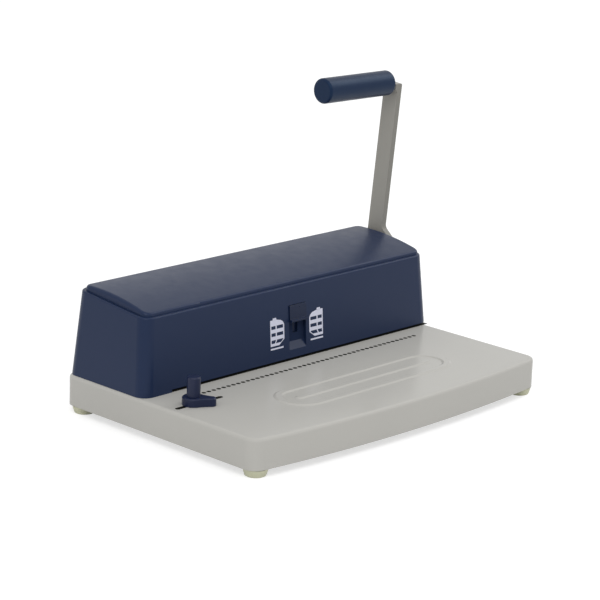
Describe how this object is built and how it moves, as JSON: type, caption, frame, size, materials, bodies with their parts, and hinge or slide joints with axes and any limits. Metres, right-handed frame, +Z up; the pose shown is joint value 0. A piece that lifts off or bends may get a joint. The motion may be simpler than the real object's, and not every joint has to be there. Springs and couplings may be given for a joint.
{
  "type": "coil binding machine",
  "caption": "Desk punch for coil binding: bowed steel base tray, tapered cover over a punch ram, hand lever with a side grip, side paper stop and depth selector.",
  "frame": {"origin": "bottom centre of the whole machine's bounding box, on the table under the feet", "axes": "+X along the length towards the lever, +Y to the rear, +Z up"},
  "size_m": [0.3858, 0.254, 0.2783],
  "materials": {
    "base_grey": "semi-gloss powder coat",
    "cover_blue": "fine satin",
    "grip_blue": "smooth",
    "lever_grey": "semi-gloss powder coat",
    "foot_cream": "matt",
    "plain_steel": "ground",
    "bright_steel": "polished",
    "zinc_plate": "zinc plated",
    "bush_bronze": "turned",
    "black_plastic": "fine texture"
  },
  "bodies": {
    "base": {"base_tray": "base_grey", "stud_strip": "black_plastic", "bottom_plate": "base_grey", "standoffs": "zinc_plate", "foot_screws": "zinc_plate", "foot_front_left": "foot_cream", "foot_front_right": "foot_cream", "foot_rear_left": "foot_cream", "foot_rear_right": "foot_cream", "die_plate": "plain_steel", "guide_spacers": "plain_steel", "guide_plate": "plain_steel", "stack_screws": "zinc_plate", "guide_post_left": "bright_steel", "guide_post_right": "bright_steel", "return_spring_left": "bright_steel", "return_spring_right": "bright_steel", "bush_left": "bush_bronze", "bush_right": "bush_bronze", "frame_left": "zinc_plate", "frame_right": "zinc_plate", "frame_fixings": "zinc_plate", "tie_bars": "plain_steel", "cover_shell": "cover_blue", "cover_lid": "cover_blue", "cover_brackets": "zinc_plate", "cover_screws": "zinc_plate", "drawer_rails": "zinc_plate"},
    "lever": {"lever_arm": "lever_grey", "lever_screw": "zinc_plate", "lever_grip": "grip_blue", "drive_shaft": "bright_steel", "shaft_collar": "plain_steel", "pinion_left": "plain_steel", "pinion_right": "plain_steel"},
    "ram": {"punch_bar": "plain_steel", "pin_clamp": "plain_steel", "clamp_screws": "zinc_plate", "punch_pins": "bright_steel", "rack_left": "plain_steel", "rack_right": "plain_steel", "rack_screws": "zinc_plate"},
    "drawer": {"chip_drawer": "base_grey"},
    "stop_slider": {"stop_nut": "black_plastic"},
    "stop_arm": {"stop_arm": "cover_blue"},
    "stop_knob": {"stop_knob": "cover_blue"},
    "selector": {"selector_button": "cover_blue", "selector_strap": "zinc_plate", "selector_screw": "zinc_plate"},
    "depth_stop": {"depth_stop_bar": "plain_steel", "follower_pin": "bright_steel"}
  },
  "joints": [
    {"name": "lever_pull", "type": "hinge", "parent": "base", "child": "lever", "pos_m": [-0.00722, 0.07805, 0.085], "axis": [1, 0, 0], "range_deg": [0, 66], "stiffness_Nm_per_rad": 0.35, "springref_deg": -63.03},
    {"name": "ram_slide", "type": "slide", "parent": "base", "child": "ram", "axis": [0, 0, -1], "range_m": [0, 0.01153], "deforming": ["return_spring_left", "return_spring_right"]},
    {"name": "drawer_slide", "type": "slide", "parent": "base", "child": "drawer", "axis": [1, 0, 0], "range_m": [0, 0.3]},
    {"name": "side_stop_slide", "type": "slide", "parent": "base", "child": "stop_slider", "axis": [1, 0, 0], "range_m": [-0.0145, 0.028]},
    {"name": "side_stop_turn", "type": "hinge", "parent": "stop_slider", "child": "stop_arm", "pos_m": [-0.16552, -0.01251, 0.041], "axis": [0, 0, 1], "continuous": true},
    {"name": "stop_knob_turn", "type": "hinge", "parent": "stop_slider", "child": "stop_knob", "pos_m": [-0.16552, -0.01251, 0.05], "axis": [0, 0, 1], "range_deg": [0, 180]},
    {"name": "selector_slide", "type": "slide", "parent": "base", "child": "selector", "axis": [0, -0.0767, -0.9971], "range_m": [0, 0.016]},
    {"name": "depth_stop_slide", "type": "slide", "parent": "base", "child": "depth_stop", "axis": [0, 1, 0], "range_m": [0, 0.0015]}
  ],
  "couplings": [
    {"joint": "ram_slide", "follows": "lever_pull", "m_per_rad": 0.01},
    {"joint": "depth_stop_slide", "follows": "selector_slide", "ratio": 0.09375}
  ]
}
